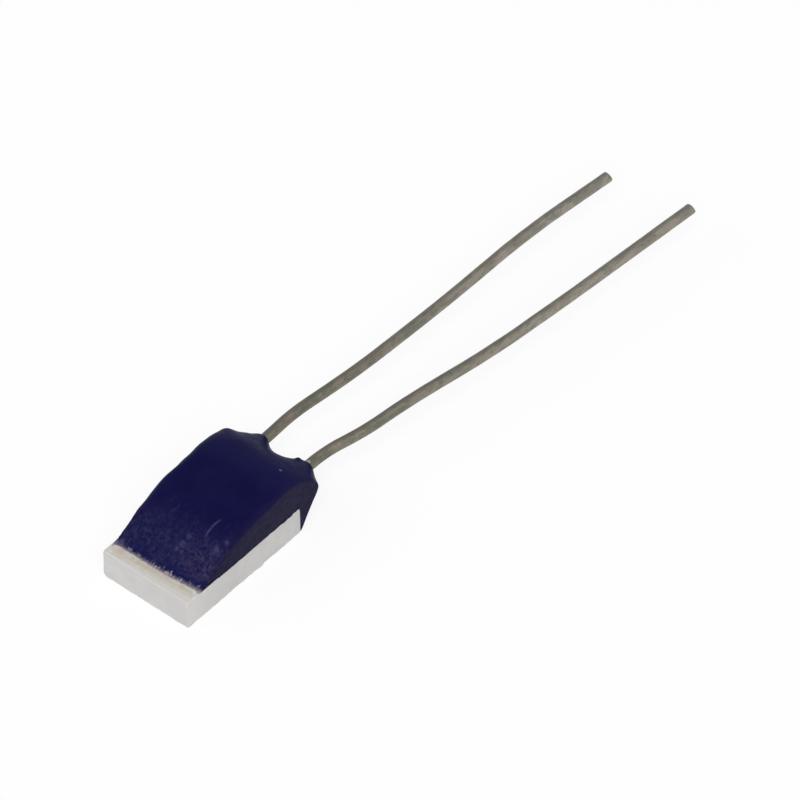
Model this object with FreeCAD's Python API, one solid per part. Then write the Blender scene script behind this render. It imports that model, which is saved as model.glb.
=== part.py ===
import FreeCAD, Part
import math
import os
from FreeCAD import Vector

# Thin-film platinum resistance thermometer: a snapped ceramic chip with a platinum meander,
# printed glass over it, two stiff round leads welded to its pads and a bead of blue glaze.
# Millimetres. The origin is the centre of the chip's underside, +X runs along the chip
# towards the leads, +Y to the left lead and +Z up.

# Ceramic chip
chip_length = 3.0
chip_width = 1.95
chip_thickness = 0.64
corner_break = 0.07          # sloping break at the lower front left corner
corner_break_width = 0.112   # how far it runs along the front edge
corner_chip = 0.045          # flake lost from the upper front left corner
corner_chip_width = 0.0675
snap_lip_x = 0.41            # rough lip left on one lower edge where the chip was snapped off
snap_lip_length = 0.26
snap_lip_height = 0.07
snap_lip_depth = 0.018
snap_lip_crest = 0.026       # where the lip stands out furthest, in front of its middle
snap_lip_heel = 0.052        # and where it starts to run out, behind its middle
snap_lip_heel_depth = 0.0126

# Platinum film
film_thickness = 0.0014
track_width = 0.035
track_gap = 0.035
bend_bevel = 0.018           # cut off the outer corners of each bend
track_count = 24             # even, so that both ends come out at the pads
film_front_margin = 0.24     # bare ceramic between the chip's front edge and the first bends
rung_count = 8               # short bridges between the last two tracks, for trimming
rungs_cut = 5                # how many of them the trimming laser has opened
rung_width = 0.03
rung_pitch = 0.09
laser_kerf = 0.015
neck_length = 0.12           # where each end of the track widens into its pad
resistivity = 0.106          # ohm square millimetre per metre, platinum at 0 degrees Celsius

# Contact pads
pad_length = 0.70
pad_width = 0.56
pad_thickness = 0.015
pad_corner = 0.05
pad_rear_margin = 0.10
pad_spacing = 0.995          # centre to centre, and so the spacing of the leads
tail_gap = 0.07              # from the meander's rear bends to the pads

# Printed glass over the meander
glass_thickness = 0.02
glass_corner = 0.06
glass_side_margin = 0.05
glass_front_margin = 0.09    # mean width of the white rim in front of it
print_skew = 0.11            # how much further back its front edge lies at the right than left

# Leads: the set of each as straight runs, in shares of its length as cut, with the side turn
# and the climb of each run in degrees
lead_diameter = 0.20
weld_flat_depth = 0.012      # how much of the round is pressed flat where it is welded
lead_end_margin = 0.08       # pad length left free in front of the lead's inner end
bend_share = 0.45            # part of the shorter run that a bend takes
left_lead_length = 10.22
left_run_shares = [0.1468, 0.0695, 0.1429, 0.2221, 0.2202, 0.1985]
left_turns = [0.0, -1.5, -7.6, -1.8, -1.0, -4.6]
left_climbs = [0.0, 7.0, 1.0, -1.5, 1.0, -2.0]
right_lead_length = 10.68
right_run_shares = [0.1788, 0.0740, 0.1152, 0.1620, 0.1798, 0.2902]
right_turns = [0.0, -19.4, -7.6, -9.1, -6.2, -3.4]
right_climbs = [0.0, 7.0, 1.0, -2.0, 0.5, -2.0]

# Glaze bead
bead_height = 0.80           # over the chip's top face, at its highest
bead_camber = 0.06           # share of that height lost at the two sides
bead_front_margin = 0.28     # mean distance from the chip's front edge to the ends of its thin edge
bead_front_bow = 0.045       # how much further forward that edge lies in the middle
bead_crest_x = 0.72
bead_overhang = 0.50         # how far it stands behind the chip, between the leads
bead_nose_rise = 0.15        # height of its furthest point over the chip's top face
collar_reach = 0.27          # extra overhang where it climbs out along each lead
left_collar_inner = 0.26     # spread of the left collar towards the other lead
left_collar_outer = 0.25     # and towards the corner
right_collar_inner = 0.23
right_collar_outer = 0.31
collar_slump = 0.15          # share of the bead's height that it loses over the leads' exits
left_corner_draw_in = 0.10   # overhang lost at the two rear corners
right_corner_draw_in = 0.05
left_shoulder_width = 0.25   # the bead's rounded shoulders, and the share of the height that
left_front_drop = 0.38       # each loses where it meets the chip's side, on the front slope
left_rear_drop = 0.16        # and behind the crest
right_shoulder_width = 0.16
right_shoulder_drop = 0.10
bead_foot_height = 0.05      # where it ends on the chip's rear face, over the underside
bead_foot_grip = 0.012       # its thickness there

# Form of the bead's section: shares of the run and of the rise up the front slope and down the
# rear fall, and shares of the overhang and of the chip's thickness on its underside
slope_profile = [(0.19, 0.33), (0.41, 0.70), (0.66, 0.93)]
fall_profile = [(0.45, 0.97), (0.82, 0.68)]
underside_profile = [(0.75, 0.88), (0.37, 0.47)]

# Worked out from the above
front_x = -chip_length / 2
rear_x = chip_length / 2
half_width = chip_width / 2
film_top = chip_thickness + film_thickness
pad_top = film_top + pad_thickness
pad_rear_x = rear_x - pad_rear_margin
pad_front_x = pad_rear_x - pad_length
track_pitch = track_width + track_gap
meander_front_x = front_x + film_front_margin
meander_rear_x = pad_front_x - tail_gap
lead_radius = lead_diameter / 2
lead_axis_z = pad_top + lead_radius - weld_flat_depth
lead_start_x = pad_front_x + lead_end_margin
left_y = pad_spacing / 2
right_y = -pad_spacing / 2


def slab(x0, x1, y0, y1, z0, z1):
    return Part.makeBox(x1 - x0, y1 - y0, z1 - z0, Vector(x0, y0, z0))


def upright_edges(solid):
    found = []
    for edge in solid.Edges:
        ends = [vertex.Point for vertex in edge.Vertexes]
        if len(ends) == 2 and math.hypot(ends[0].x - ends[1].x, ends[0].y - ends[1].y) < 1e-6:
            found.append(edge)
    return found


# The chip is a plain alumina block, snapped out of a scribed sheet: one corner broken off
# at a slope, a flake gone from another, and a lip left along one lower edge.
def corner_wedge(corner, inward_x, inward_y, inward_z):
    tips = [
        corner + Vector(inward_x, 0, 0),
        corner + Vector(0, inward_y, 0),
        corner + Vector(0, 0, inward_z),
    ]
    sides = [
        [corner, tips[0], tips[1]],
        [corner, tips[1], tips[2]],
        [corner, tips[2], tips[0]],
        tips,
    ]
    faces = [Part.Face(Part.makePolygon(points + [points[0]])) for points in sides]
    return Part.makeSolid(Part.makeShell(faces))


def make_substrate():
    block = slab(front_x, rear_x, -half_width, half_width, 0, chip_thickness)
    lower_corner = Vector(front_x, half_width, 0)
    upper_corner = Vector(front_x, half_width, chip_thickness)
    block = block.cut(corner_wedge(lower_corner, corner_break, -corner_break_width, corner_break))
    block = block.cut(corner_wedge(upper_corner, corner_chip, -corner_chip_width, -corner_chip))
    lip_outline = [
        Vector(snap_lip_x - snap_lip_length / 2, -half_width, 0),
        Vector(snap_lip_x - snap_lip_crest, -half_width - snap_lip_depth, 0),
        Vector(snap_lip_x + snap_lip_heel, -half_width - snap_lip_heel_depth, 0),
        Vector(snap_lip_x + snap_lip_length / 2, -half_width, 0),
    ]
    lip_foot = Part.Face(Part.makePolygon(lip_outline + [lip_outline[0]]))
    lip = lip_foot.extrude(Vector(0, 0, snap_lip_height))
    return block.fuse(lip).removeSplitter()


# The film is one platinum track, laid in long hairpins from the left pad to the right one.
def track_y(index):
    return (track_count - 1) * track_pitch / 2 - index * track_pitch


def hairpin_side(side):
    """Corners along one side of the whole track, from the left tail to the right one."""
    points = []
    for index in range(track_count):
        forward = index % 2 == 0
        inward = side if forward else -side
        y = track_y(index) + inward * track_width / 2
        if index == 0:
            points.append(Vector(pad_front_x, y, chip_thickness))
        if index == track_count - 1:
            points.append(Vector(pad_front_x, y, chip_thickness))
            break
        next_y = track_y(index + 1) - inward * track_width / 2
        bend_x = meander_front_x if forward else meander_rear_x
        if y - next_y < track_pitch:
            points.append(Vector(bend_x, y, chip_thickness))
            points.append(Vector(bend_x, next_y, chip_thickness))
            continue
        outward = -track_width if forward else track_width
        bevel = math.copysign(bend_bevel, outward)
        points.append(Vector(bend_x + outward - bevel, y, chip_thickness))
        points.append(Vector(bend_x + outward, y - bend_bevel, chip_thickness))
        points.append(Vector(bend_x + outward, next_y + bend_bevel, chip_thickness))
        points.append(Vector(bend_x + outward - bevel, next_y, chip_thickness))
    return points


def pad_outline(y, bottom, thickness):
    plate = slab(pad_front_x, pad_rear_x, y - pad_width / 2, y + pad_width / 2, bottom, bottom + thickness)
    return plate.makeFillet(pad_corner, upright_edges(plate))


def make_film():
    corners = hairpin_side(1) + hairpin_side(-1)[::-1]
    outline = Part.makePolygon(corners + [corners[0]])
    film = Part.Face(outline).extrude(Vector(0, 0, film_thickness))
    upper_rail = track_y(track_count - 2) - track_width / 2
    lower_rail = track_y(track_count - 1) + track_width / 2
    middle = (upper_rail + lower_rail) / 2
    for index in range(rung_count):
        x = meander_front_x + (index + 1) * rung_pitch
        rung = slab(x, x + rung_width, lower_rail, upper_rail, chip_thickness, film_top)
        if index >= rung_count - rungs_cut:
            kerf_low = middle - laser_kerf / 2
            kerf_high = middle + laser_kerf / 2
            rung = rung.cut(slab(x, x + rung_width, kerf_low, kerf_high, chip_thickness, film_top))
        film = film.fuse(rung)
    outer_left = track_y(0) + track_width / 2
    outer_right = track_y(track_count - 1) - track_width / 2
    neck_rear_x = pad_front_x + neck_length
    for y, low, high in ((left_y, left_y, outer_left), (right_y, outer_right, right_y)):
        film = film.fuse(pad_outline(y, chip_thickness, film_thickness))
        film = film.fuse(slab(pad_front_x, neck_rear_x, low, high, chip_thickness, film_top))
    return film.removeSplitter()


# The pads are thick printed metal on the film's two ends.
def make_pad(y):
    return pad_outline(y, film_top, pad_thickness)


# Printed glass seals the meander; its front edge, printed a little askew, is what shows.
def make_passivation(film):
    left = half_width - glass_side_margin
    right = -left
    corners = [
        Vector(front_x + glass_front_margin - print_skew / 2, left, chip_thickness),
        Vector(pad_front_x - tail_gap / 4, left, chip_thickness),
        Vector(pad_front_x - tail_gap / 4, right, chip_thickness),
        Vector(front_x + glass_front_margin + print_skew / 2, right, chip_thickness),
    ]
    plate = Part.Face(Part.makePolygon(corners + [corners[0]])).extrude(Vector(0, 0, glass_thickness))
    plate = plate.makeFillet(glass_corner, upright_edges(plate))
    return plate.cut(film)


# The leads are round platinum-clad nickel wire, stiff enough to keep their set.
def lead_corners(y, length, run_shares, turns, climbs):
    points = [Vector(lead_start_x, y, lead_axis_z)]
    for share, turn, climb in zip(run_shares, turns, climbs):
        run = length * share / sum(run_shares)
        level = run * math.cos(math.radians(climb))
        step = Vector(
            level * math.cos(math.radians(turn)),
            level * math.sin(math.radians(turn)),
            run * math.sin(math.radians(climb)),
        )
        points.append(points[-1] + step)
    return points


def rounded_path(points):
    """Straight runs joined by tangent arcs."""
    edges = []
    start = points[0]
    for before, corner, after in zip(points, points[1:], points[2:]):
        back = before - corner
        ahead = after - corner
        reach = bend_share * min(back.Length, ahead.Length)
        back.normalize()
        ahead.normalize()
        half_turn = (math.pi - back.getAngle(ahead)) / 2
        radius = reach / math.tan(half_turn)
        to_middle = (back + ahead).normalize()
        middle_gap = radius / math.cos(half_turn) - radius
        first = corner + back * reach
        second = corner + ahead * reach
        edges.append(Part.LineSegment(start, first).toShape())
        edges.append(Part.Arc(first, corner + to_middle * middle_gap, second).toShape())
        start = second
    edges.append(Part.LineSegment(start, points[-1]).toShape())
    return Part.Wire(edges)


def make_lead(points):
    path = rounded_path(points)
    ring = Part.Wire(Part.makeCircle(lead_radius, points[0], Vector(1, 0, 0)))
    wire = path.makePipeShell([ring], True, False)
    pressed = slab(
        pad_front_x,
        pad_rear_x + pad_rear_margin,
        points[0].y - lead_diameter,
        points[0].y + lead_diameter,
        pad_top - lead_diameter,
        pad_top,
    )
    return wire.cut(pressed)


# The glaze is one bead, run on over the welds and fired. It is pinned at the chip's edges,
# slopes up from a thin front edge, hangs over the rear face and climbs out along each lead.
def bead_rise(y, left_drop):
    """Height over the chip's top face, with the given share of it lost at the left side."""
    rise = bead_height * (1 - bead_camber * (y / half_width) ** 2)
    shoulder_width = left_shoulder_width if y > 0 else right_shoulder_width
    shoulder_drop = left_drop if y > 0 else right_shoulder_drop
    into_shoulder = 1 - (half_width - abs(y)) / shoulder_width
    if into_shoulder > 0:
        rise *= 1 - shoulder_drop * (1 - math.sqrt(1 - into_shoulder ** 2))
    return rise


def collar(y):
    """1 at a lead, fading to 0 away from both."""
    if y > 0:
        width = left_collar_outer if y > left_y else left_collar_inner
    else:
        width = right_collar_outer if y < right_y else right_collar_inner
    return math.exp(-((abs(y) - left_y) / width) ** 2)


def bead_reach(y):
    draw_in = left_corner_draw_in if y > 0 else right_corner_draw_in
    return bead_overhang + collar_reach * collar(y) - draw_in * (y / half_width) ** 4


def bead_front_x(y):
    across = y / half_width
    return front_x + bead_front_margin - print_skew / 2 * across - bead_front_bow * (1 - across ** 2)


def bead_section(y):
    front_rise = bead_rise(y, left_front_drop)
    rear_rise = bead_rise(y, left_rear_drop)
    reach = bead_reach(y)
    thin_edge = bead_front_x(y)
    slope = bead_crest_x - thin_edge
    fall = rear_x + reach - bead_crest_x
    profile = [Vector(thin_edge, y, chip_thickness)]
    for run, height in slope_profile:
        profile.append(Vector(thin_edge + slope * run, y, chip_thickness + front_rise * height))
    profile.append(Vector(bead_crest_x, y, chip_thickness + (front_rise + rear_rise) / 2))
    slumps = [0, collar_slump * collar(y)]
    for (run, height), slump in zip(fall_profile, slumps):
        profile.append(Vector(bead_crest_x + fall * run, y, chip_thickness + rear_rise * (height - slump)))
    profile.append(Vector(rear_x + reach, y, chip_thickness + bead_nose_rise))
    for out, height in underside_profile:
        profile.append(Vector(rear_x + reach * out, y, chip_thickness * height))
    profile.append(Vector(rear_x + bead_foot_grip, y, bead_foot_height))
    skin = Part.BSplineCurve()
    skin.interpolate(profile)
    closing = Part.makeLine(profile[-1], profile[0])
    return Part.Wire([skin.toShape(), closing])


def make_glaze(covered):
    stations = [
        -half_width,
        -half_width + right_shoulder_width * 0.3,
        (right_y - half_width) / 2,
        right_y,
        right_y + right_collar_inner,
        0.0,
        left_y - left_collar_inner,
        left_y,
        half_width - left_shoulder_width,
        half_width - left_shoulder_width * 0.45,
        half_width - left_shoulder_width * 0.12,
        half_width,
    ]
    bead = Part.makeLoft([bead_section(y) for y in stations], True, False)
    return bead.cut(covered)


film = make_film()
substrate = make_substrate()
pad_left = make_pad(left_y)
pad_right = make_pad(right_y)
passivation = make_passivation(film)
left_points = lead_corners(left_y, left_lead_length, left_run_shares, left_turns, left_climbs)
right_points = lead_corners(right_y, right_lead_length, right_run_shares, right_turns, right_climbs)
lead_left = make_lead(left_points)
lead_right = make_lead(right_points)
glaze = make_glaze([substrate, film, pad_left, pad_right, passivation, lead_left, lead_right])

pieces = {
    "ceramic_substrate": substrate,
    "platinum_film": film,
    "contact_pad_left": pad_left,
    "contact_pad_right": pad_right,
    "passivation_glass": passivation,
    "lead_left": lead_left,
    "lead_right": lead_right,
    "fixing_glaze": glaze,
}

os.makedirs("parts", exist_ok=True)
for name, shape in pieces.items():
    shape.exportStep("parts/" + name + ".step")
    print(name, "solids", len(shape.Solids), "valid", shape.isValid(), "volume", round(shape.Volume, 6))

hairpin = meander_rear_x - meander_front_x + track_pitch
track_length = track_count * hairpin
resistance = resistivity * track_length / 1000 / (track_width * film_thickness)
print("track length", round(track_length, 2), "resistance about", round(resistance, 1), "ohm at 0 degrees")
for name, points in (("left", left_points), ("right", right_points)):
    tip = points[-1]
    direction = (points[-1] - points[-2]).normalize()
    print(name, "lead tip", [round(value, 4) for value in tip])
    print(name, "lead runs out along", [round(value, 5) for value in direction])
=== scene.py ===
import math
import bpy
import numpy as np
from mathutils import Matrix, Vector, noise


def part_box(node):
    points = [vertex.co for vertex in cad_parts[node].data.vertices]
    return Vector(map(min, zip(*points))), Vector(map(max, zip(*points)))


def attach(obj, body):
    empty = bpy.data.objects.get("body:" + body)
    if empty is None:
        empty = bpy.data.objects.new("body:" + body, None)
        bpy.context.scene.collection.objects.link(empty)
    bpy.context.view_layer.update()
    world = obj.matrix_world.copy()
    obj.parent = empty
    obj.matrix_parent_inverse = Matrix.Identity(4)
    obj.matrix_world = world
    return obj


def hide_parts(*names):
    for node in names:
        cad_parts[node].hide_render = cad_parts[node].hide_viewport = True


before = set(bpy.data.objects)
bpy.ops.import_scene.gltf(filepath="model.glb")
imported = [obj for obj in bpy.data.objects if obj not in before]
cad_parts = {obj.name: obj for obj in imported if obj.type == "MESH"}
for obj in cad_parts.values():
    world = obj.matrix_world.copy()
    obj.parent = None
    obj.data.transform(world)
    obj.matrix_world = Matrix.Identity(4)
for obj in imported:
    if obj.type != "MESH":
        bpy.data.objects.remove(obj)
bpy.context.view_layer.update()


# Ceramic chip: a block of white alumina snapped out of a scribed sheet, so its sides are a
# little rough and its lower edges uneven. A corner is broken off at the front left, with a
# flake gone above it, and a small lip stands on the lower edge of the right side.
mm = 0.001
chip_low, chip_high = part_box("ceramic_substrate")
front_x = chip_low.x / mm
rear_x = chip_high.x / mm
half_width = chip_high.y / mm
chip_top = chip_high.z / mm
chip_mesh_step = 0.022
chip_edge_band, chip_edge_step = 0.05, 0.0065
chip_edge_radius = 0.013
corner_break = (0.07, 0.112, 0.07)
corner_flake = (0.045, 0.0675, 0.045)
corner_roughness = 0.5
lip_middle, lip_length, lip_height, lip_depth = 0.41, 0.26, 0.07, 0.018
lip_bluntness = 0.6
lip_full_share = 0.4
lip_band = (0.03, 0.015)
lower_edge = (0.02, 0.16)
lower_edge_rounding = 0.5
lower_edge_loss = 0.005
snap_limit = 0.006
# Each layer of unevenness is its strength, the size of its waves and a seed.
edge_layer = (0.35, 0.11, 1)
snap_layers = ((0.0035, 0.07, 2), (0.0025, 0.025, 3))
lower_edge_layer = (0.011, 0.13, 5)
alumina_colour, alumina_roughness = (0.6, 0.6, 0.59), 0.55
alumina_dark, alumina_light = (0.531, 0.517, 0.512), (0.567, 0.552, 0.544)
# The top face's paler colour is painted light, not a colour of the alumina.
alumina_top_lit = (0.60, 0.575, 0.552)
# The paler front of the right side is painted light.
alumina_side_front_lit = (0.605, 0.588, 0.577)
alumina_speck = (0.485, 0.465, 0.445)


def grid_lines(low, high, step, edge, edge_step):
    """Places of grid lines from low to high, closer together near both ends."""
    near = np.arange(0, edge, edge_step)
    count = round((high - low - 2 * edge) / step) + 1
    return np.concatenate([low + near, np.linspace(low + edge, high - edge, count), high - near[::-1]])


def box_skin(lines):
    """Points and quads of a box's six sides, laid on grid lines given for X, Y and Z."""
    points, quads, used = [], [], 0
    for axis in range(3):
        across, upward = (axis + 1) % 3, (axis + 2) % 3
        columns, rows = len(lines[across]), len(lines[upward])
        for place, outward in ((lines[axis][-1], True), (lines[axis][0], False)):
            side = np.zeros((rows, columns, 3))
            side[:, :, axis] = place
            side[:, :, across] = lines[across][None, :]
            side[:, :, upward] = lines[upward][:, None]
            number = used + np.arange(rows * columns).reshape(rows, columns)
            corners = [number[:-1, :-1], number[:-1, 1:], number[1:, 1:], number[1:, :-1]]
            quads.append(np.stack(corners if outward else corners[::-1], axis=-1).reshape(-1, 4))
            points.append(side.reshape(-1, 3))
            used += rows * columns
    points, welded = np.unique(np.round(np.concatenate(points), 7), axis=0, return_inverse=True)
    return points, welded.reshape(-1)[np.concatenate(quads)]


def wander(points, size, seed):
    """Smooth noise from about -1 to 1, which changes over the given distance."""
    shift = Vector((seed * 7.1, seed * 3.7, seed * 5.3))
    return np.array([noise.noise(Vector(point) / size + shift) for point in points])


def uneven(points, *layers):
    """The sum of layers of unevenness at each point."""
    return sum(strength * wander(points, size, seed) for strength, size, seed in layers)


def fade(value, start, end):
    """0 at start, 1 at end, and a smooth change between them."""
    share = np.clip((value - start) / (end - start), 0, 1)
    return share * share * (3 - 2 * share)


def cut_corner(points, corner, legs):
    """Points beyond the plane through three legs from a corner are drawn back onto it."""
    inward = np.array([1 / legs[0], -1 / legs[1], 1 / legs[2]])
    if corner[2] > 0:
        inward[2] = -inward[2]
    short = np.clip(1 - (points - corner) @ inward, 0, None)
    size = np.linalg.norm(inward)
    bumpy = 1 + corner_roughness * wander(points, 0.02, 4)
    return points + (short * bumpy / size ** 2)[:, None] * inward


def add_piece(name, points, faces, material):
    """A smooth-shaded object from points in millimetres, riding on the part's one body."""
    mesh = bpy.data.meshes.new(name)
    mesh.from_pydata((np.asarray(points) * mm).tolist(), [], [list(face) for face in faces])
    mesh.materials.append(material)
    mesh.shade_smooth()
    piece = bpy.data.objects.new(name, mesh)
    bpy.context.scene.collection.objects.link(piece)
    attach(piece, "root")
    return piece


class Surface:
    """A material in the making: its shader, and short ways to add the nodes that feed it."""

    def __init__(self, name, colour, roughness):
        self.material = bpy.data.materials.new(name)
        self.material.use_nodes = True
        self.tree = self.material.node_tree
        self.shader = self.tree.nodes["Principled BSDF"]
        self.shader.inputs["Base Color"].default_value = (*colour, 1)
        self.shader.inputs["Roughness"].default_value = roughness
        scale = self.add("ShaderNodeVectorMath", operation="SCALE")
        scale.inputs["Scale"].default_value = 1 / mm
        self.join(self.add("ShaderNodeTexCoord").outputs["Object"], scale.inputs[0])
        self.place = scale.outputs[0]

    def add(self, kind, **settings):
        node = self.tree.nodes.new(kind)
        for key, value in settings.items():
            setattr(node, key, value)
        return node

    def join(self, output, socket):
        self.tree.links.new(output, socket)

    def feed(self, value, socket):
        """Links an output to a socket, or sets a plain number there."""
        if isinstance(value, bpy.types.NodeSocket):
            self.join(value, socket)
        else:
            socket.default_value = value

    def wear(self, colour, roughness):
        """Gives the shader its finished colour and roughness."""
        self.join(colour, self.shader.inputs["Base Color"])
        self.join(roughness, self.shader.inputs["Roughness"])

    def axes(self, vector):
        """The X, Y and Z of a vector, by name."""
        node = self.add("ShaderNodeSeparateXYZ")
        self.join(vector, node.inputs[0])
        return node.outputs

    def facing(self):
        """The X, Y and Z of the way that the surface faces."""
        return self.axes(self.add("ShaderNodeTexCoord").outputs["Normal"])

    def noise(self, size, detail=3.0, roughness=0.6, stretch=(1, 1, 1)):
        """Noise from 0 to 1 with patches of about the given size in millimetres."""
        texture = self.add("ShaderNodeTexNoise")
        mapping = self.add("ShaderNodeMapping")
        mapping.inputs["Scale"].default_value = [1 / (size * part) for part in stretch]
        self.join(self.place, mapping.inputs["Vector"])
        self.join(mapping.outputs[0], texture.inputs["Vector"])
        texture.inputs["Scale"].default_value = 1.0
        texture.inputs["Detail"].default_value = detail
        texture.inputs["Roughness"].default_value = roughness
        return texture.outputs["Fac"]

    def ramp(self, value, low, high, to_low=0.0, to_high=1.0):
        """The value's range from low to high spread smoothly over another range."""
        node = self.add("ShaderNodeMapRange", interpolation_type="SMOOTHSTEP")
        for socket, number in zip(node.inputs, (value, low, high, to_low, to_high)):
            self.feed(number, socket)
        return node.outputs[0]

    def maths(self, operation, first, *others):
        """One operation run along a row of values, from the first to the last."""
        for other in others or (0.0,):
            node = self.add("ShaderNodeMath", operation=operation)
            self.feed(first, node.inputs[0])
            self.feed(other, node.inputs[1])
            first = node.outputs[0]
        return first

    def product(self, *values):
        return self.maths("MULTIPLY", *values)

    def strongest(self, *values):
        return self.maths("MAXIMUM", *values)

    def apart(self, value, number):
        """How far a value is from a number, whichever is larger."""
        return self.maths("ABSOLUTE", self.maths("SUBTRACT", value, number))

    def blend(self, share, first, second):
        """One colour turning into another as the share goes from 0 to 1."""
        node = self.add("ShaderNodeMix", data_type="RGBA")
        self.feed(share, node.inputs["Factor"])
        for value, socket in ((first, node.inputs[6]), (second, node.inputs[7])):
            self.feed(value if isinstance(value, bpy.types.NodeSocket) else (*value, 1), socket)
        return node.outputs[2]

    def attribute(self, name):
        return self.add("ShaderNodeAttribute", attribute_name=name).outputs["Fac"]

    def distance(self, centre):
        """How far each place is from a centre given as X and Y, seen from above."""
        level = self.add("ShaderNodeVectorMath", operation="MULTIPLY")
        self.join(self.place, level.inputs[0])
        level.inputs[1].default_value = (1, 1, 0)
        away = self.add("ShaderNodeVectorMath", operation="DISTANCE")
        self.join(level.outputs[0], away.inputs[0])
        away.inputs[1].default_value = (*centre, 0)
        return away.outputs["Value"]

    def spot(self, x, y, core, reach):
        """1 near a place given as X and Y in millimetres, fading to 0 at the reach."""
        return self.ramp(self.distance((x, y)), reach, core)

    def bump(self, heights):
        """Bump from pairs of a height output and the depth in millimetres that it stands for."""
        normal = None
        for height, depth in heights:
            node = self.add("ShaderNodeBump")
            node.inputs["Distance"].default_value = depth * mm
            self.join(height, node.inputs["Height"])
            if normal is not None:
                self.join(normal, node.inputs["Normal"])
            normal = node.outputs[0]
        self.join(normal, self.shader.inputs["Normal"])


def make_alumina():
    surface = Surface("alumina", alumina_colour, alumina_roughness)
    cloud = surface.noise(0.45, detail=2)
    grain = surface.noise(0.03, detail=4, roughness=0.7)
    place = surface.axes(surface.place)
    body = surface.blend(surface.ramp(cloud, 0.35, 0.7), alumina_dark, alumina_light)
    # Painted light: the chip's top face is painted paler than its sides.
    painted_light_on_top = surface.ramp(place["Z"], chip_top - 0.02, chip_top - 0.002)
    body = surface.blend(painted_light_on_top, body, alumina_top_lit)
    # Painted light: the right side is painted paler towards its front.
    to_front = surface.ramp(place["X"], -0.6, -1.4)
    on_right = surface.ramp(surface.facing()["Y"], -0.5, -0.9)
    body = surface.blend(surface.product(to_front, on_right), body, alumina_side_front_lit)
    speck = surface.ramp(surface.noise(0.06, detail=2), 0.68, 0.78)
    body = surface.blend(speck, body, alumina_speck)
    surface.wear(body, surface.ramp(grain, 0.3, 0.7, 0.48, 0.66))
    surface.bump([(surface.noise(0.12, detail=3), 0.004), (grain, 0.0025)])
    return surface.material


def chip_points():
    """The block's skin with its worn edges, broken corners and lip, and its quads."""
    spans = ((front_x, rear_x), (-half_width, half_width), (0, chip_top))
    lines = [grid_lines(*span, chip_mesh_step, chip_edge_band, chip_edge_step) for span in spans]
    points, quads = box_skin(lines)
    low, high = np.array(spans).T
    lowness = 1 - fade(points[:, 2], *lower_edge)
    radius = chip_edge_radius * (1 + lower_edge_rounding * lowness + uneven(points, edge_layer))[:, None]
    core = np.clip(points, low + radius, high - radius)
    outward = points - core
    outward /= np.maximum(np.linalg.norm(outward, axis=1), 1e-9)[:, None]
    points = core + outward * radius
    level = np.hypot(outward[:, 0], outward[:, 1])
    snapped = uneven(points, *snap_layers) * level
    snapped += lowness * level * (uneven(points, lower_edge_layer) - lower_edge_loss)
    points += outward * np.minimum(snapped, snap_limit)[:, None]
    points = cut_corner(points, np.array([front_x, half_width, 0]), corner_break)
    points = cut_corner(points, np.array([front_x, half_width, chip_top]), corner_flake)
    along = np.clip(1 - np.abs(points[:, 0] - lip_middle) / (lip_length / 2), 0, 1) ** lip_bluntness
    on_side = fade(-points[:, 1], *[half_width - inset for inset in lip_band])
    below = 1 - fade(points[:, 2], lip_full_share * lip_height, lip_height)
    points[:, 1] -= lip_depth * along * on_side * below
    points[:, 2] = np.maximum(points[:, 2], 0)
    return points, quads


ceramic_chip = add_piece("ceramic_chip", *chip_points(), make_alumina())
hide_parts("ceramic_substrate")


# Platinum film and its two pads: an evaporated meander a little over a micrometre thick, cut
# to value with a laser, and thick pads of printed metal on its ends. All are sealed in.
platinum_colour, platinum_roughness, platinum_grain = (0.60, 0.59, 0.57), 0.3, 0.02
pad_colour, pad_roughness, pad_grain = (0.66, 0.64, 0.60), 0.45, 0.05


def make_printed_metal(name, colour, roughness, grain_size):
    surface = Surface(name, colour, roughness)
    surface.shader.inputs["Metallic"].default_value = 1.0
    grain = surface.noise(grain_size, detail=4)
    darker = [0.8 * part for part in colour]
    mottled = surface.ramp(grain, 0.3, 0.7, roughness - 0.08, roughness + 0.08)
    surface.wear(surface.blend(grain, darker, colour), mottled)
    surface.bump([(grain, 0.0006)])
    return surface.material


platinum = make_printed_metal("platinum_film", platinum_colour, platinum_roughness, platinum_grain)
pad_metal = make_printed_metal("pad_metal", pad_colour, pad_roughness, pad_grain)
node_metals = {"platinum_film": platinum, "contact_pad_left": pad_metal, "contact_pad_right": pad_metal}
for node_name, metal in node_metals.items():
    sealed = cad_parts[node_name]
    sealed.data.materials.clear()
    sealed.data.materials.append(metal)


# Printed glass: a cream film of fired paste over the meander, screen-printed a little askew.
# Only its front strip shows, between the bare white rim of the chip and the blue glaze.
glass_low, glass_high = [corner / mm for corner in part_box("passivation_glass")]
print_skew = 0.11
print_skew_end = (0.3, 1.5)
print_edge = 0.055
glass_front = glass_low.x + print_skew / 2
print_mesh_step = 0.012
print_edge_band, print_edge_step = 0.05, 0.006
strip_depth, strip_step = 0.42, 0.009
covered_rows = 24
ragged_layers = ((0.012, 0.10, 11), (0.008, 0.03, 12))
ragged_depth = 0.15
mottle_layers = ((0.18, 0.09, 13), (0.1, 0.03, 14))
cream_colour, cream_roughness = (0.51, 0.47, 0.41), 0.5
cream_dark, cream_light = (0.485, 0.433, 0.385), (0.555, 0.518, 0.472)
cream_front = (0.495, 0.478, 0.395)
cream_worn = (0.51, 0.495, 0.435)
cream_bare = (0.575, 0.578, 0.57)
cream_stain = (0.55, 0.43, 0.39)
# Spots are an X, a Y, the radius of a full core and the radius where they end.
bare_spots = ((-1.41, 0.95, 0.04, 0.17), (-1.20, -0.92, 0.02, 0.10))
stain_spot, stain_strength = (-1.25, 0.72, 0.02, 0.16), 0.7


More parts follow.
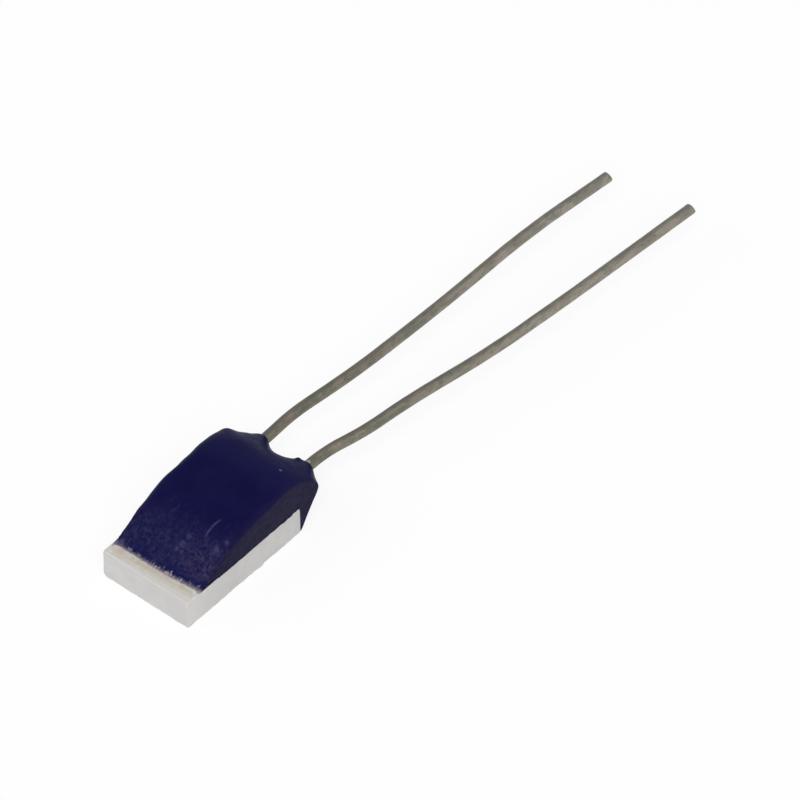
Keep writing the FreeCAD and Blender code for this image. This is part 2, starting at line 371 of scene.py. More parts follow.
def make_print():
    surface = Surface("cream_print", cream_colour, cream_roughness)
    cloud = surface.noise(0.12, detail=3)
    grain = surface.noise(0.022, detail=4, roughness=0.7)
    place = surface.axes(surface.place)
    askew = surface.product(place["Y"], print_skew / 2 / half_width)
    depth = surface.maths("SUBTRACT", surface.maths("ADD", place["X"], askew), glass_front)
    cream = surface.blend(surface.ramp(cloud, 0.38, 0.62), cream_dark, cream_light)
    cream = surface.blend(surface.ramp(depth, 0.11, 0.03, 0, 0.8), cream, cream_front)
    worn = surface.ramp(surface.noise(0.09, detail=3, stretch=(1, 2, 1)), 0.60, 0.72, 0, 0.7)
    cream = surface.blend(worn, cream, cream_worn)
    bare = surface.strongest(*[surface.spot(*spot) for spot in bare_spots])
    cream = surface.blend(bare, cream, cream_bare)
    stained = surface.product(surface.spot(*stain_spot), stain_strength)
    cream = surface.blend(stained, cream, cream_stain)
    surface.wear(cream, surface.ramp(grain, 0.3, 0.7, 0.42, 0.62))
    surface.bump([(cloud, 0.004), (grain, 0.002)])
    return surface.material


def print_points():
    """The film's upper side as a grid that starts at its front edge, and its flat lower side."""
    across = grid_lines(glass_low.y, glass_high.y, print_mesh_step, print_edge_band, print_edge_step)
    front_rows = np.arange(0, strip_depth, strip_step)
    back_rows = np.linspace(strip_depth, glass_high.x - glass_front, covered_rows)
    depth, y = np.meshgrid(np.concatenate([front_rows, back_rows]), across, indexing="ij")
    flat = np.stack([depth.ravel(), y.ravel(), np.zeros(depth.size)], axis=1)
    edge_line = np.array([[0, line, 0] for line in across])
    ragged = uneven(edge_line, *ragged_layers)[None, :] * (1 - fade(depth, 0, ragged_depth))
    askew = print_skew / 2 * y / half_width * (1 - fade(depth, *print_skew_end))
    x = np.minimum(glass_front + depth - askew + ragged, glass_high.x)
    side = np.minimum(y - glass_low.y, glass_high.y - y)
    rounding = fade(depth, 0, print_edge) * fade(side, 0, print_edge)
    rounding *= fade(depth.max() - depth, 0, print_edge)
    mottled = (1 + uneven(flat, *mottle_layers)).reshape(depth.shape)
    top = chip_top + (glass_high.z - chip_top) * np.sqrt(rounding) * np.minimum(mottled, 1)
    upper = np.stack([x, y, top], axis=-1)
    lower = upper.copy()
    lower[:, :, 2] = chip_top
    return upper, lower


def sheet_quads(rows, columns, first, flip=False):
    """Quads of a grid of points that are numbered row by row from the first."""
    number = first + np.arange(rows * columns).reshape(rows, columns)
    corners = [number[:-1, :-1], number[1:, :-1], number[1:, 1:], number[:-1, 1:]]
    return np.stack(corners[::-1] if flip else corners, axis=-1).reshape(-1, 4)


def weld(points, quads, tolerance=1e-6):
    """Merges points that coincide, drops what has no area then, and tells which points stay."""
    keys = np.round(points / tolerance).astype(np.int64)
    first, numbers = np.unique(keys, axis=0, return_index=True, return_inverse=True)[1:]
    faces = []
    for face in numbers.reshape(-1)[quads]:
        corners = [corner for index, corner in enumerate(face) if corner != face[index - 1]]
        if len(corners) > 2:
            faces.append(corners)
    return points[first], faces, first


upper, lower = print_points()
rows, columns = upper.shape[:2]
upper_quads = sheet_quads(rows, columns, 0)
lower_quads = sheet_quads(rows, columns, rows * columns, True)
both_sides = np.concatenate([upper.reshape(-1, 3), lower.reshape(-1, 3)])
film_points, film_faces = weld(both_sides, np.concatenate([upper_quads, lower_quads]))[:2]
print_film = add_piece("print_film", film_points, film_faces, make_print())
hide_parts("passivation_glass")


# Leads: two round wires of platinum-clad nickel, drawn, cut off a little aslant and welded to
# the pads. They are stiff enough to keep their set: each wanders in long gentle bends.
lead_radius = 0.1
plated_radius = 0.1035
lead_end_margin = 0.08
weld_flat_depth = 0.012
pad_rear_margin = 0.1
pad_low, pad_high = [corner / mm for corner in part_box("contact_pad_left")]
pad_top = pad_high.z
lead_start_x = pad_low.x + lead_end_margin
lead_axis_z = pad_top + lead_radius - weld_flat_depth
lead_y = (pad_low.y + pad_high.y) / 2
bend_share = 0.45
lead_ring_step = 0.04
lead_sides = 32
tip_burr = 0.012
tip_slant = 0.22
# The tip's last rings, as a distance back from its end and a share of the wire's radius.
tip_rounding = ((0.024, 1.0), (0.012, 0.99), (0.005, 0.965), (0.0015, 0.93), (0.0, 0.885))
tip_length = tip_rounding[0][0]
tip_clearance = 1.2
slow_swell, fine_swell = 0.022, 0.012
# Where each starts, its length, and its straight runs as shares of that length, with the side
# turn and the climb of each run in degrees.
leads = {
    "lead_wire_left": (
        lead_y,
        10.22,
        [0.1468, 0.0695, 0.1429, 0.2221, 0.2202, 0.1985],
        [0.0, -1.5, -7.6, -1.8, -1.0, -4.75],
        [0.0, 6.0, 1.0, -1.5, 1.0, -2.0],
    ),
    "lead_wire_right": (
        -lead_y,
        10.68,
        [0.1788, 0.0740, 0.1152, 0.1620, 0.1798, 0.2902],
        [0.0, -19.4, -7.6, -9.1, -6.2, -3.4],
        [0.0, 7.0, 1.0, -2.0, 0.5, -2.0],
    ),
}
lead_seeds = (3.7, 15.0)
lead_colour, lead_roughness, lead_metallic = (0.27, 0.245, 0.20), 0.6, 0.8
clean_near, clean_tip = (0.255, 0.226, 0.18), (0.39, 0.357, 0.305)
tarnish_near, tarnish_tip = (0.175, 0.176, 0.138), (0.295, 0.287, 0.245)
tarnish_brown = (0.305, 0.245, 0.198)
lead_scuff = (0.135, 0.125, 0.10)
# Painted shade: the darker colour of each wire's left-facing side.
lead_painted_shade = (0.155, 0.16, 0.14)
# Painted highlight: a pale glint on the right lead where it leaves the glaze.
glint_spot, glint_colour = (2.27, -0.49, 0.01, 0.06), (0.5, 0.5, 0.49)


def make_wire():
    surface = Surface("lead_wire", lead_colour, lead_roughness)
    surface.shader.inputs["Metallic"].default_value = lead_metallic
    towards_tip = surface.ramp(surface.axes(surface.place)["X"], 2.0, 9.5)
    clean = surface.blend(towards_tip, clean_near, clean_tip)
    tarnish = surface.blend(towards_tip, tarnish_near, tarnish_tip)
    patches = surface.ramp(surface.noise(0.22, detail=3, stretch=(1.6, 0.7, 0.7)), 0.43, 0.57)
    brown = surface.ramp(surface.noise(0.35, detail=2, stretch=(1.5, 0.6, 0.6)), 0.5, 0.68)
    mixed = surface.blend(patches, clean, tarnish)
    tinted = surface.blend(surface.product(brown, 0.5), mixed, tarnish_brown)
    scuffs = surface.ramp(surface.noise(0.05, detail=3, stretch=(2.2, 1, 1)), 0.56, 0.70, 0, 0.5)
    tinted = surface.blend(scuffs, tinted, lead_scuff)
    # Painted shade: the side of the wire that faces left is painted darker.
    shade_to_left = surface.ramp(surface.facing()["Y"], -0.5, 0.15, 0, 0.5)
    with_painted_shade = surface.blend(shade_to_left, tinted, lead_painted_shade)
    # Painted highlight: the glint is painted into the wire's colour.
    finished = surface.blend(surface.spot(*glint_spot), with_painted_shade, glint_colour)
    lines = surface.noise(0.02, detail=3, stretch=(12, 1, 1))
    grain = surface.noise(0.03, detail=3)
    surface.wear(finished, surface.ramp(grain, 0.3, 0.7, 0.56, 0.72))
    surface.bump([(lines, 0.0012), (grain, 0.0015)])
    return surface.material


def lead_corners(start_y, length, run_shares, turns, climbs):
    corners = [Vector((lead_start_x, start_y, lead_axis_z))]
    for share, turn, climb in zip(run_shares, turns, climbs):
        heading, rise = math.radians(turn), math.radians(climb)
        run = length * share
        level = run * math.cos(rise)
        step = (level * math.cos(heading), level * math.sin(heading), run * math.sin(rise))
        corners.append(corners[-1] + Vector(step))
    return corners


def line_points(start, end):
    count = max(1, round((end - start).length / lead_ring_step))
    return [start.lerp(end, index / count) for index in range(count)]


def lead_line(corners):
    """Ring centres along straight runs that are joined by tangent arcs."""
    centres, start = [], corners[0]
    for before, corner, after in zip(corners, corners[1:], corners[2:]):
        back, ahead = before - corner, after - corner
        reach = bend_share * min(back.length, ahead.length)
        half_turn = (math.pi - back.angle(ahead)) / 2
        radius = reach / math.tan(half_turn)
        first, last = corner + back.normalized() * reach, corner + ahead.normalized() * reach
        inward = (back.normalized() + ahead.normalized()).normalized()
        middle = corner + inward * radius / math.cos(half_turn)
        centres += line_points(start, first)
        steps = max(2, round(2 * half_turn * radius / lead_ring_step))
        spoke, turned = first - middle, (first - middle).rotation_difference(last - middle)
        for index in range(steps):
            part = turned.copy()
            part.angle = turned.angle * index / steps
            centres.append(middle + part @ spoke)
        start = last
    return centres + line_points(start, corners[-1]) + [corners[-1]]


def lead_swell(centre, spoke, seed):
    """How much a drawn wire's radius differs from its mean at one place."""
    slow = noise.noise(centre * 2.2 + spoke * 0.5 + Vector((seed, 0, 0)))
    fine = noise.noise(centre * 9 + spoke * 1.4 + Vector((0, seed, 0)))
    return 1 + slow_swell * slow + fine_swell * fine


def lead_mesh(centres, seed):
    """A drawn wire round the line, pressed flat on its pad, with a rounded and slanted tip."""
    heading = (centres[-1] - centres[-2]).normalized()
    tip = centres[-1] + heading * tip_burr
    body = [centre for centre in centres if (tip - centre).length > tip_length * tip_clearance]
    rings = [(centre, 1.0) for centre in body]
    rings += [(tip - heading * back, size) for back, size in tip_rounding]
    points = []
    for index, (centre, size) in enumerate(rings):
        before = rings[max(index - 1, 0)][0]
        after = rings[min(index + 1, len(rings) - 1)][0]
        axis = (after - before).normalized()
        side = axis.cross(Vector((0, 0, 1))).normalized()
        up = side.cross(axis)
        for step in range(lead_sides):
            angle = 2 * math.pi * step / lead_sides
            spoke = side * math.cos(angle) + up * math.sin(angle)
            point = centre + spoke * plated_radius * size * lead_swell(centre, spoke, seed)
            if (tip - centre).length <= tip_length:
                point -= heading * tip_slant * spoke.z * plated_radius
            if point.x < pad_high.x + pad_rear_margin:
                point.z = max(point.z, pad_top)
            points.append(tuple(point))
    last = (len(rings) - 1) * lead_sides
    faces = []
    for near in range(0, last, lead_sides):
        far = near + lead_sides
        for step in range(lead_sides):
            following = (step + 1) % lead_sides
            faces.append([near + step, near + following, far + following, far + step])
    faces.append(list(range(lead_sides))[::-1])
    faces.append([last + step for step in range(lead_sides)])
    return points, faces


wire_finish = make_wire()
for (wire_name, route), seed in zip(leads.items(), lead_seeds):
    centres = lead_line(lead_corners(*route))
    wire = add_piece(wire_name, *lead_mesh(centres, seed), wire_finish)
    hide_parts(wire_name.replace("wire_", ""))


# Fixing glaze: one bead of dark blue glass paste, laid over the welds and fired. It slopes up
# from a thin ragged front edge, laps a little over the chip's side edges and hangs over the
# rear face, where it climbs out a little way along each lead.
bead_height = 0.80
bead_camber = 0.06
bead_front_margin = 0.28
bead_front_bow = 0.045
bead_crest_x = 0.72
bead_overhang = 0.50
bead_nose_rise = 0.15
collar_reach = 0.27
left_collar_inner, left_collar_outer = 0.26, 0.25
right_collar_inner, right_collar_outer = 0.23, 0.31
collar_slump = 0.15
left_corner_draw_in, right_corner_draw_in = 0.10, 0.05
left_shoulder_width, left_front_drop, left_rear_drop = 0.25, 0.38, 0.16
right_shoulder_width, right_front_drop, right_rear_drop = 0.22, 0.24, 0.09
bead_foot_height = 0.05
bead_foot_grip = 0.012
slope_profile = ((0.19, 0.33), (0.41, 0.70), (0.66, 0.93))
fall_profile = ((0.45, 0.97), (0.82, 0.68))
underside_profile = ((0.75, 0.88), (0.37, 0.47))
# The rim of the left wall and the feet of both walls are drawn in at the front.
rim_draw_in, rim_draw_in_end = 0.030, (0.3, 0.85)
foot_draw_in, foot_draw_in_end = 0.02, (0.2, 0.7)
# How far the walls' feet lap over the chip's edges, and more so at the rear and its corner.
foot_overlap, foot_overlap_start = 0.015, (0.1, 0.3)
rear_overlap, rear_overlap_span = 0.5, (0.4, 1.2)
corner_overlap, corner_overlap_reach = 0.02, 0.05
low_overlap_share = 0.3
overlap_hang = 0.9
foot_stand, foot_stand_reach = 0.004, 0.01
# Where the soft border between the top and a wall ends, on either side of the rim.
rim_softness = 0.17
wall_softness = 0.09
# The skin's mesh: the rows on each stretch of its length, from the thin edge to the foot, and
# the columns on a shoulder and between the shoulders.
skin_rows = ((0, 0.26, 104), (0.26, 0.78, 84), (0.78, 1, 24))
shoulder_columns, middle_columns = 27, 236
right_wall = {"column": 0, "rows_down": 56, "seed": 87}
left_wall = {"column": -1, "rows_down": 48, "seed": 79}
swell_layers = ((0.012, 0.55, 21), (0.006, 0.22, 22))
grain_layers = ((0.0045, 0.06, 23), (0.0025, 0.025, 24))
tooth_layers = ((0.013, 0.09, 25), (0.006, 0.03, 26))
rough_front = (0.45, 1.2)
smooth_grain_share = 0.12
wall_calm = 0.6
flat_edge = 0.05
tooth_depth = 0.12
# How far the front edge has crept back (or, below 0, forward) at places across the chip.
edge_creep = (
    (-0.97, -0.65, -0.25, 0.2, 0.8, 0.97),
    (-0.050, -0.034, -0.028, -0.006, -0.004, -0.075),
)
# Low lumps and dips of the fired skin: an X, a Y, a reach and a height.
lumps = (
    (1.72, 0.94, 0.23, 0.050),
    (1.95, 0.80, 0.16, -0.016),
    (2.07, 0.64, 0.16, -0.016),
    (1.20, 0.96, 0.34, -0.018),
    (0.80, 0.96, 0.28, -0.020),
    (0.45, 0.96, 0.22, -0.012),
    (0.05, 0.96, 0.28, 0.020),
    (-0.42, 0.96, 0.26, -0.020),
    (-0.80, 0.96, 0.36, -0.018),
    (2.12, -0.39, 0.09, 0.036),
)
lump_steepness = 0.6
# Pale specks, painted highlights on tiny pits and bubbles: each is a spot and its strength.
glint_specks = (
    (1.422, -0.592, 0.012, 0.048, 1.0),
    (-0.735, -0.210, 0.015, 0.085, 0.40),
    (-0.840, -0.150, 0.005, 0.060, 0.38),
    (-0.842, -0.255, 0.005, 0.060, 0.34),
    (-0.598, -0.231, 0.005, 0.075, 0.28),
    (-0.520, -0.790, 0.020, 0.085, 0.36),
    (-0.334, -0.877, 0.010, 0.060, 0.30),
    (-1.200, 0.830, 0.020, 0.110, 0.70),
    (-0.903, -0.856, 0.005, 0.050, 0.45),
)
# The scratch is the stretch of a circle that lies within a spot.
scratch_centre, scratch_radius = (-0.347, -1.115), 0.631
scratch_spot, scratch_strength = (-0.285, -0.49, 0.10, 0.23), 0.5
lilac_spot = (-0.80, -0.80, 0.15, 0.75)
glaze_colour, glaze_roughness, glaze_specular = (0.007, 0.0065, 0.047), 0.4, 0.012
glaze_deep, glaze_lighter = (0.0060, 0.0056, 0.0435), (0.0076, 0.0072, 0.0495)
# Painted reflection: the paler blue of the bead's rear fall.
glaze_rear_sheen = (0.0115, 0.0118, 0.058)
glaze_washed = (0.0062, 0.0072, 0.0615)
glaze_thin = (0.37, 0.335, 0.33)
# Paler colours of the front's haze, partly a painted sheen.
haze_sheen_blue, haze_sheen_lilac = (0.0235, 0.0245, 0.075), (0.042, 0.036, 0.082)
# Painted reflection: the greyer blue of the bead's side walls.
wall_sheen_dark, wall_sheen_light = (0.0138, 0.0124, 0.0305), (0.0205, 0.0188, 0.0425)
# The pale colour of the scratch and of the painted highlights on the specks.
pale_scratch_and_glints = (0.085, 0.085, 0.17)


def haze_and_sheen_share(surface, behind, frontness, patches, grain):
    """The paler haze of the thin front, partly a painted sheen, and fine streaks a little further up the
    slope.
    """
    haze = surface.maths(
        "ADD",
        surface.ramp(patches, 0.42, 0.62, 0.02, 0.46),
        surface.ramp(grain, 0.38, 0.66, 0, 0.42),
    )
    lines = surface.apart(surface.noise(0.2, detail=1, stretch=(2.2, 0.8, 1)), 0.5)
    streaks = surface.product(
        surface.ramp(lines, 0.03, 0.004, 0, 0.45),
        surface.ramp(behind, 1.3, 0.8),
        surface.ramp(surface.noise(0.4, detail=1), 0.47, 0.6),
    )
    return surface.strongest(surface.product(haze, frontness), streaks)


def thin_share(surface, behind):
    """Where the print shows through: the very edge, and pale whiskers that run up from it."""
    across = surface.axes(surface.place)["Y"]
    hairs = surface.noise(0.055, detail=2, stretch=(3, 1, 1))
    needed = surface.ramp(behind, 0.0, 0.21, 0.36, 0.80)
    whiskers = surface.product(
        surface.ramp(surface.maths("SUBTRACT", hairs, needed), -0.05, 0.20),
        surface.ramp(surface.ramp(across, 0.5, -0.1), 0, 1, 0.42, 0.72),
        surface.ramp(across, -0.955, -0.87),
    )
    return surface.strongest(whiskers, surface.ramp(behind, 0.09, 0.0, 0, 0.88))


def scratch_and_glint_share(surface, grain):
    """The scratch and the specks of painted highlight, broken up by the glaze's grain."""
    off_line = surface.apart(surface.distance(scratch_centre), scratch_radius)
    scratch = surface.product(surface.ramp(off_line, 0.027, 0.004), surface.spot(*scratch_spot))
    glint_spots = [surface.product(surface.spot(*speck[:4]), speck[4]) for speck in glint_specks]
    scratch_and_glints = surface.strongest(surface.product(scratch, scratch_strength), *glint_spots)
    return surface.product(scratch_and_glints, surface.ramp(grain, 0.32, 0.58, 0.35, 1.0))


def make_glaze():
    surface = Surface("blue_glaze", glaze_colour, glaze_roughness)
    surface.shader.inputs["Specular IOR Level"].default_value = glaze_specular
    behind = surface.attribute("behind_edge")
    frontness = surface.ramp(behind, 1.08, 0.42)
    cloud = surface.noise(0.5, detail=3)
    patches = surface.noise(0.10, detail=2)
    grain = surface.noise(0.045, detail=3, roughness=0.6)
    deep = surface.blend(surface.ramp(cloud, 0.35, 0.65), glaze_deep, glaze_lighter)
    # Painted reflection: the rear fall of the bead is painted a paler blue, as a sheen.
    deep = surface.blend(surface.ramp(behind, 1.9, 2.8), deep, glaze_rear_sheen)
    # The front is painted paler: a haze of its rough skin, partly a painted sheen.
    haze_sheen_colour = surface.blend(surface.spot(*lilac_spot), haze_sheen_blue, haze_sheen_lilac)
    haze_and_sheen = haze_and_sheen_share(surface, behind, frontness, patches, grain)
    hazed = surface.blend(haze_and_sheen, deep, haze_sheen_colour)
    # Painted reflection: the side walls are painted a greyer blue, as the sheen that they show.
    wall_sheen = surface.blend(surface.ramp(patches, 0.35, 0.65), wall_sheen_dark, wall_sheen_light)
    with_wall_sheen = surface.blend(surface.product(surface.attribute("on_wall"), 0.85), hazed, wall_sheen)
    washed = surface.product(surface.ramp(behind, 0.26, 0.06), surface.ramp(cloud, 0.4, 0.6))
    bright = surface.blend(washed, with_wall_sheen, glaze_washed)
    edged = surface.blend(thin_share(surface, behind), bright, glaze_thin)
    # The scratch, and painted highlights on the specks.
    with_scratch_and_glints = surface.blend(scratch_and_glint_share(surface, grain), edged, pale_scratch_and_glints)
    surface.wear(with_scratch_and_glints, surface.ramp(frontness, 0, 1, 0.34, 0.62))
    surface.bump([(cloud, 0.01), (patches, 0.004), (grain, 0.003)])
    return surface.material


def bead_rise(y, left_drop, right_drop):
    """Height over the chip's top, with the given shares of it lost at the two sides."""
    rise = bead_height * (1 - bead_camber * (y / half_width) ** 2)
    width, drop = (left_shoulder_width, left_drop) if y > 0 else (right_shoulder_width, right_drop)
    into_shoulder = min(max(1 - (half_width - abs(y)) / width, 0), 1)
    return rise * (1 - drop * (1 - math.sqrt(1 - into_shoulder ** 2)))


def collar(y):
    """1 at a lead, fading to 0 away from both."""
    inner, outer = left_collar_inner, left_collar_outer
    if y <= 0:
        inner, outer = right_collar_inner, right_collar_outer
    return math.exp(-((abs(y) - lead_y) / (outer if abs(y) > lead_y else inner)) ** 2)


def bead_thin_edge(y):
    """Where the bead's front edge lies: askew like the print, and bowed forward in the middle."""
    across = y / half_width
    return front_x + bead_front_margin - print_skew / 2 * across - bead_front_bow * (1 - across ** 2)


def bead_section(y):
    """The points that the bead's skin runs through, as X and Z, at one place across the chip."""
    front_rise = bead_rise(y, left_front_drop, right_front_drop)
    rear_rise = bead_rise(y, left_rear_drop, right_rear_drop)
    draw_in = left_corner_draw_in if y > 0 else right_corner_draw_in
    reach = bead_overhang + collar_reach * collar(y) - draw_in * (y / half_width) ** 4
    thin_edge = bead_thin_edge(y)
    slope = bead_crest_x - thin_edge
    fall = rear_x + reach - bead_crest_x
    slump = (0, collar_slump * collar(y))
    points = [(thin_edge, chip_top)]
    for run, share in slope_profile:
        points.append((thin_edge + slope * run, chip_top + front_rise * share))
    points.append((bead_crest_x, chip_top + (front_rise + rear_rise) / 2))
    for (run, share), lost in zip(fall_profile, slump):
        points.append((bead_crest_x + fall * run, chip_top + rear_rise * (share - lost)))
    points.append((rear_x + reach, chip_top + bead_nose_rise))
    for out, height in underside_profile:
        points.append((rear_x + reach * out, chip_top * height))
    points.append((rear_x + bead_foot_grip, bead_foot_height))
    return np.array(points)


def smooth_through(points, shares):
    """A cubic curve through the points, read at shares of its length."""
    knots = np.concatenate([[0], np.cumsum(np.linalg.norm(np.diff(points, axis=0), axis=1))])
    gaps = np.diff(knots)
    slopes = np.diff(points, axis=0) / gaps[:, None]
    count = len(points)
    system, wanted = np.zeros((count, count)), np.zeros((count, points.shape[1]))
    system[0, :3] = gaps[1], -gaps[0] - gaps[1], gaps[0]
    system[-1, -3:] = gaps[-1], -gaps[-2] - gaps[-1], gaps[-2]
    for index in range(1, count - 1):
        before, after = gaps[index - 1], gaps[index]
        system[index, index - 1:index + 2] = before, 2 * (before + after), after
        wanted[index] = 6 * (slopes[index] - slopes[index - 1])
    bends = np.linalg.solve(system, wanted)
    places = shares * knots[-1]
    span = np.clip(np.searchsorted(knots, places, side="right") - 1, 0, count - 2)
    past, left = (places - knots[span])[:, None], (knots[span + 1] - places)[:, None]
    gap = gaps[span][:, None]
    curve = (bends[span] * left ** 3 + bends[span + 1] * past ** 3) / (6 * gap)
    curve += (points[span] / gap - bends[span] * gap / 6) * left
    return curve + (points[span + 1] / gap - bends[span + 1] * gap / 6) * past


def foot_overlaps(foot, seed):
    """How far the foot of a wall laps over the chip's edges, along the whole wall."""
    x, thin_edge = foot[:, 0], foot[0, 0]
    over = foot_overlap * (1 + uneven(foot, (0.6, 0.12, seed), (0.35, 0.04, seed + 1)))
    over *= fade(x, *[thin_edge + behind for behind in foot_overlap_start])
    over *= 1 + rear_overlap * fade(x, *rear_overlap_span)
    to_corner = np.hypot(x - rear_x, foot[:, 2] - chip_top)
    over += corner_overlap * np.exp(-(to_corner / corner_overlap_reach) ** 2)
    return over * (low_overlap_share + (1 - low_overlap_share) * foot[:, 2] / chip_top)


def bead_wall(rim, rows_down, seed):
    """Rows of points from a rim down to the wall's foot, which laps a little over the chip."""
    foot = rim.copy()
    turn = np.argmax(rim[:, 0] > rear_x)
    foot[:turn, 2] = chip_top
    foot[turn:, 0] = rear_x
    foot[turn:, 2] = np.linspace(chip_top, bead_foot_height, len(rim) - turn)
    drawn_in = 1 - fade(foot[:, 0], *[foot[0, 0] + behind for behind in foot_draw_in_end])
    foot[:, 1] *= 1 - foot_draw_in / half_width * drawn_in
    down = np.linspace(0, 1, rows_down + 1)[1:]
    wall = rim[None] + (foot - rim)[None] * down[:, None, None]
    over = foot_overlaps(foot, seed)
    hang = fade(down, overlap_hang, 1)[:, None]
    on_top_edge = np.arange(len(foot)) < turn
    wall[:, :, 2] -= hang * np.where(on_top_edge, over, 0)
    wall[:, :, 0] -= hang * np.where(on_top_edge, 0, over)
    wall[:, :, 1] += hang * foot_stand * (1 - np.exp(-over / foot_stand_reach)) * np.sign(rim[0, 1])
    return wall, foot, down


def bead_grid():
    """The bead's skin as a grid: rows run from the thin edge over to the foot, columns from the
    right wall's foot up, across and down the left wall. Also how far each point is on a wall."""
    stretches = [np.linspace(start, end, count) for start, end, count in skin_rows]
    shares = np.concatenate([stretches[0][:-1], stretches[1][:-1], stretches[2]])
    quarter = np.linspace(0, math.pi / 2, shoulder_columns)
    right = -half_width + right_shoulder_width * (1 - np.cos(quarter))
    left = half_width - left_shoulder_width * (1 - np.cos(quarter))[::-1]
    middle = np.linspace(right[-1], left[0], middle_columns)[1:-1]
    across = np.concatenate([right, middle, left])
    top = np.array([smooth_through(bead_section(y), shares) for y in across])
    top = np.insert(top, 1, across[:, None], axis=2)
    at_front = 1 - fade(top[:, :, 0], *[front_x + behind for behind in rim_draw_in_end])
    top[:, :, 1] -= rim_draw_in * at_front * np.clip(across / half_width, 0, 1)[:, None] ** 3
    on_wall = np.zeros(top.shape[:2])
    with_wall_sheen, wall_shares = [], []
    for wall_side in (right_wall, left_wall):
        column = wall_side["column"]
        rim = top[column]
        wall, foot, down = bead_wall(rim, wall_side["rows_down"], wall_side["seed"])
        with_wall_sheen.append(wall)
        below_rim = down[:, None] * np.linalg.norm(foot - rim, axis=1)
        wall_shares.append(0.5 + 0.5 * np.clip(below_rim / wall_softness, 0, 1))
        inside_rim = abs(across - across[column])[:, None]
        on_wall = np.maximum(on_wall, 0.5 - 0.5 * np.clip(inside_rim / rim_softness, 0, 1))
    grid = np.concatenate([with_wall_sheen[0][::-1], top, with_wall_sheen[1]])
    on_wall = np.concatenate([wall_shares[0][::-1], on_wall, wall_shares[1]])
    return grid.transpose(1, 0, 2), fade(on_wall, 0.1, 0.9).T


def grid_normals(grid):
    along = np.gradient(grid, axis=0)
    across = np.gradient(grid, axis=1)
    normals = np.cross(along, across)
    length = np.linalg.norm(normals, axis=2, keepdims=True)
    return np.where(length > 1e-12, normals / np.maximum(length, 1e-12), [0, 0, 1])


def worked_bead():
    """The grid with the fired skin's lumps and grain and the ragged front edge worked in."""
    grid, on_wall = bead_grid()
    rows, columns = grid.shape[:2]
    flat = grid.reshape(-1, 3)
    behind = grid[:, :, 0] - bead_thin_edge(grid[:, :, 1])
    swell = uneven(flat, *swell_layers)
    for x, y, reach, height in lumps:
        away = (flat[:, 0] - x) ** 2 + (flat[:, 1] - y) ** 2
        swell += height * np.exp(-away / (lump_steepness * reach) ** 2)
    front = 1 - fade(behind, *rough_front)
    grain = uneven(flat, *grain_layers).reshape(rows, columns)
    grain *= smooth_grain_share + (1 - smooth_grain_share) * front
    lift = swell.reshape(rows, columns) + grain
    lift *= fade(behind, 0, flat_edge) * (1 - wall_calm * on_wall)
    moved = grid + grid_normals(grid) * lift[:, :, None]
    edge_y = grid[0, :, 1]
    edge_line = np.stack([np.zeros(columns), edge_y, np.zeros(columns)], axis=1)
    teeth = uneven(edge_line, *tooth_layers) + np.interp(edge_y, *edge_creep)
    moved[:, :, 0] += teeth[None, :] * (1 - fade(behind, 0.0, tooth_depth)) * (1 - on_wall)
    moved[0, :, 2] = grid[0, :, 2]
    return moved, behind, on_wall


moved, behind, on_wall = worked_bead()
rows, columns = moved.shape[:2]
rear_top, rear_foot = [
    np.stack([np.full(columns, rear_x), moved[0, :, 1], np.full(columns, z)], axis=1)
    for z in (chip_top, bead_foot_height)
]
base = np.stack([moved[0], rear_top, rear_foot, moved[-1]])
skin_quads = sheet_quads(rows, columns, 0)
base_quads = sheet_quads(len(base), columns, rows * columns, True)
skin_and_base = np.concatenate([moved, base]).reshape(-1, 3)
bead_points, bead_faces, kept = weld(skin_and_base, np.concatenate([skin_quads, base_quads]))
bead = add_piece("glaze_bead", bead_points, bead_faces, make_glaze())
for name, values in (("behind_edge", behind), ("on_wall", on_wall)):
    with_base = np.concatenate([values, values[[0, 0, -1, -1]]]).ravel()
    attribute = bead.data.attributes.new(name, "FLOAT", "POINT")
    attribute.data.foreach_set("value", with_base[kept].astype(np.float32))
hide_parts("fixing_glaze")


# Studio: a plain white floor under the sensor, a soft light from the camera's side with weaker
# ones from the left and from behind, a pale sky that is brightest low down, and a long lens
# that looks down on the chip's front right corner.
floor_reach = 0.5
floor_white, floor_roughness = (0.94, 0.94, 0.94), 0.9
floor_glow = 0.85
sky_band, sky_strengths = (0.0, 0.35), (0.8, 0.40)
sky_white = (1, 1, 1, 1)
target = Vector((5.0167, -0.2415, 0)) * mm
lamp_distance = 0.45
lamps = {
    "key": {"towards": (-0.44, -0.43, 0.79), "size": 0.34, "energy": 1.38},
    "side": {"towards": (-0.60, 0.50, 0.62), "size": 0.26, "energy": 0.3},
    "rear": {"towards": (0.45, 0.75, 0.48), "size": 0.26, "energy": 0.08},
}
camera_azimuth = math.radians(-49.1224)
camera_elevation = math.radians(46.9796)
camera_roll = math.radians(-0.4112)
camera_distance = 0.35
camera_sensor, camera_lens = 36, 896.91
camera_clip_start, camera_clip_end = 0.01, 2.0


def make_floor():
    """White paper that takes shadows, and glows a little where it is seen or mirrored."""
    surface = Surface("white_floor", floor_white, floor_roughness)
    surface.shader.inputs["Specular IOR Level"].default_value = 0.0
    paths = surface.add("ShaderNodeLightPath")
    ray_kinds = ("Is Camera Ray", "Is Glossy Ray", "Is Transmission Ray")
    seen = surface.strongest(*[paths.outputs[kind] for kind in ray_kinds])
    white = surface.add("ShaderNodeEmission")
    white.inputs["Strength"].default_value = 1.0
    both = surface.add("ShaderNodeMixShader")
    surface.join(surface.product(seen, floor_glow), both.inputs[0])
    surface.join(surface.shader.outputs[0], both.inputs[1])
    surface.join(white.outputs[0], both.inputs[2])
    surface.join(both.outputs[0], surface.tree.nodes["Material Output"].inputs["Surface"])
    return surface.material


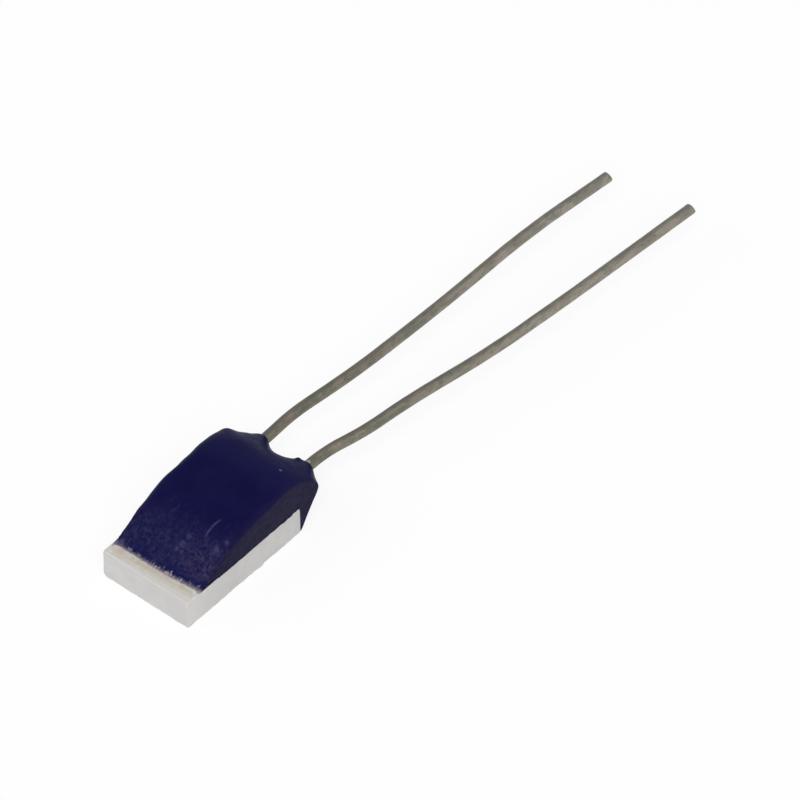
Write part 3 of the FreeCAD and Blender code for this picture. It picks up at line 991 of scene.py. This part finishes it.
floor_mesh = bpy.data.meshes.new("floor")
floor_signs = ((-1, -1), (1, -1), (1, 1), (-1, 1))
floor_corners = [(x * floor_reach, y * floor_reach, 0) for x, y in floor_signs]
floor_mesh.from_pydata(floor_corners, [], [(0, 1, 2, 3)])
floor_mesh.materials.append(make_floor())
floor = bpy.data.objects.new("floor", floor_mesh)
bpy.context.scene.collection.objects.link(floor)

world = bpy.data.worlds.new("studio")
bpy.context.scene.world = world
world.use_nodes = True
sky = world.node_tree
sky_place = sky.nodes.new("ShaderNodeTexCoord")
sky_height = sky.nodes.new("ShaderNodeSeparateXYZ")
sky_level = sky.nodes.new("ShaderNodeMapRange")
sky_level.interpolation_type = "SMOOTHSTEP"
for socket, number in zip(sky_level.inputs[1:5], (*sky_band, *sky_strengths)):
    socket.default_value = number
sky.links.new(sky_place.outputs["Generated"], sky_height.inputs[0])
sky.links.new(sky_height.outputs["Z"], sky_level.inputs[0])
sky.links.new(sky_level.outputs[0], sky.nodes["Background"].inputs["Strength"])
sky.nodes["Background"].inputs["Color"].default_value = sky_white

for name, settings in lamps.items():
    lamp = bpy.data.lights.new(name, "AREA")
    lamp.shape = "DISK"
    lamp.size = settings["size"]
    lamp.energy = settings["energy"]
    holder = bpy.data.objects.new(name, lamp)
    towards = Vector(settings["towards"]).normalized()
    holder.location = target + towards * lamp_distance
    holder.rotation_euler = towards.to_track_quat("Z", "Y").to_euler()
    bpy.context.scene.collection.objects.link(holder)

camera_data = bpy.data.cameras.new("camera")
camera_data.sensor_width = camera_sensor
camera_data.lens = camera_lens
camera_data.clip_start = camera_clip_start
camera_data.clip_end = camera_clip_end
camera = bpy.data.objects.new("camera", camera_data)
back = Vector((
    math.sin(camera_azimuth) * math.cos(camera_elevation),
    -math.cos(camera_azimuth) * math.cos(camera_elevation),
    math.sin(camera_elevation),
))
level_right = Vector((math.cos(camera_azimuth), math.sin(camera_azimuth), 0))
level_up = back.cross(level_right)
right = level_right * math.cos(camera_roll) + level_up * math.sin(camera_roll)
up = level_up * math.cos(camera_roll) - level_right * math.sin(camera_roll)
turned = Matrix((right, up, back)).transposed().to_4x4()
camera.matrix_world = Matrix.Translation(target + back * camera_distance) @ turned
bpy.context.scene.collection.objects.link(camera)
bpy.context.scene.camera = camera
bpy.context.scene.view_settings.view_transform = "Standard"
